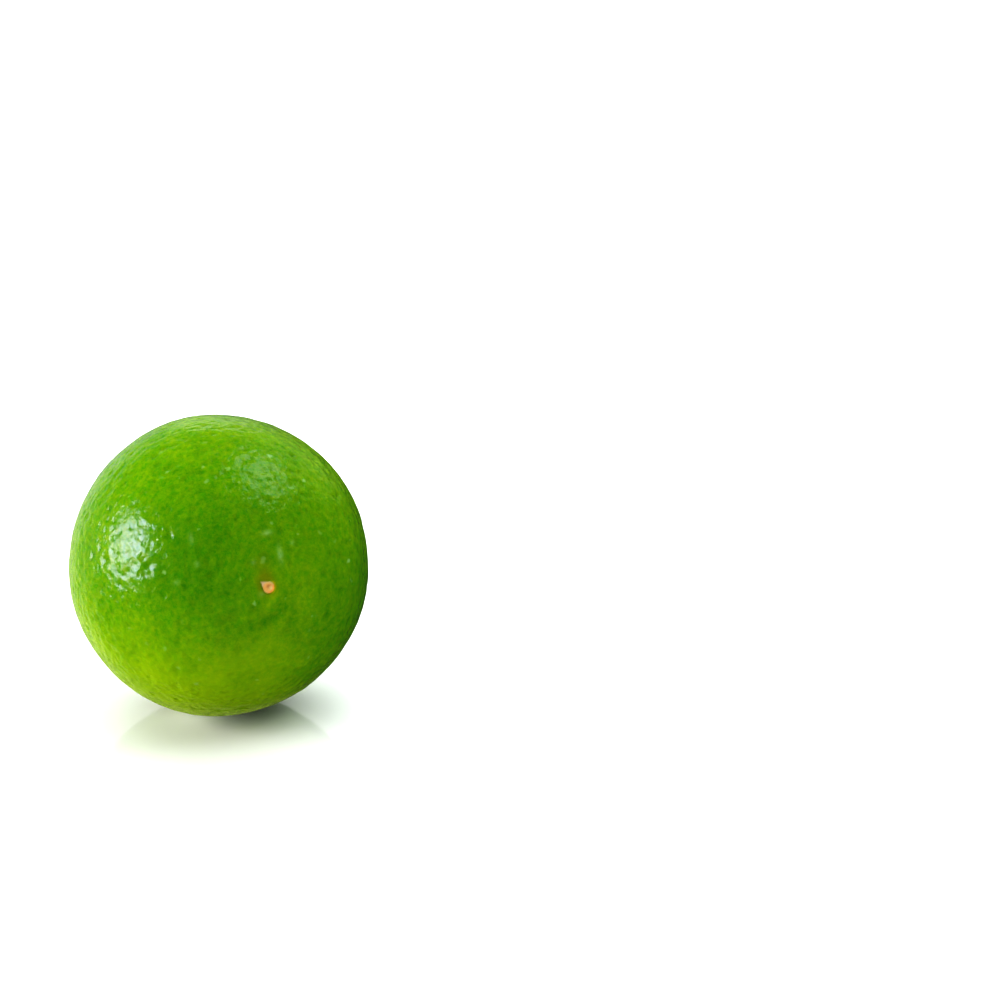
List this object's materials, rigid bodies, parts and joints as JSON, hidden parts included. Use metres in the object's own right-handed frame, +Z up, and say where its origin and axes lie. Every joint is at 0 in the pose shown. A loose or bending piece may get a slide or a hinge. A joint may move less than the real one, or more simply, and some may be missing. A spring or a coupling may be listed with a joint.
{
  "type": "lime",
  "caption": "Whole green lime lying on its side on a small flat spot, with dimpled glossy rind, a corky scar at the flower end and a calyx button at the stem end.",
  "frame": {"origin": "bottom centre of the lime's box, on the surface that it lies on", "axes": "+Z up; the fruit's axis runs along Y, with the flower end and its scar towards -Y, tipped up by 9 degrees, and the stem end towards +Y; +X is to the right, seen from the flower end"},
  "size_m": [0.0536, 0.0566, 0.0539],
  "materials": {
    "rind": "waxy, glossy green rind with a dimple over each oil gland, yellower on one side; stands for citrus peel",
    "calyx": "dry, dull brown-green calyx and pale snapped stalk; stands for woody plant tissue"
  },
  "bodies": {
    "root": {"fruit": "rind", "calyx_button": "calyx"}
  },
  "joints": []
}
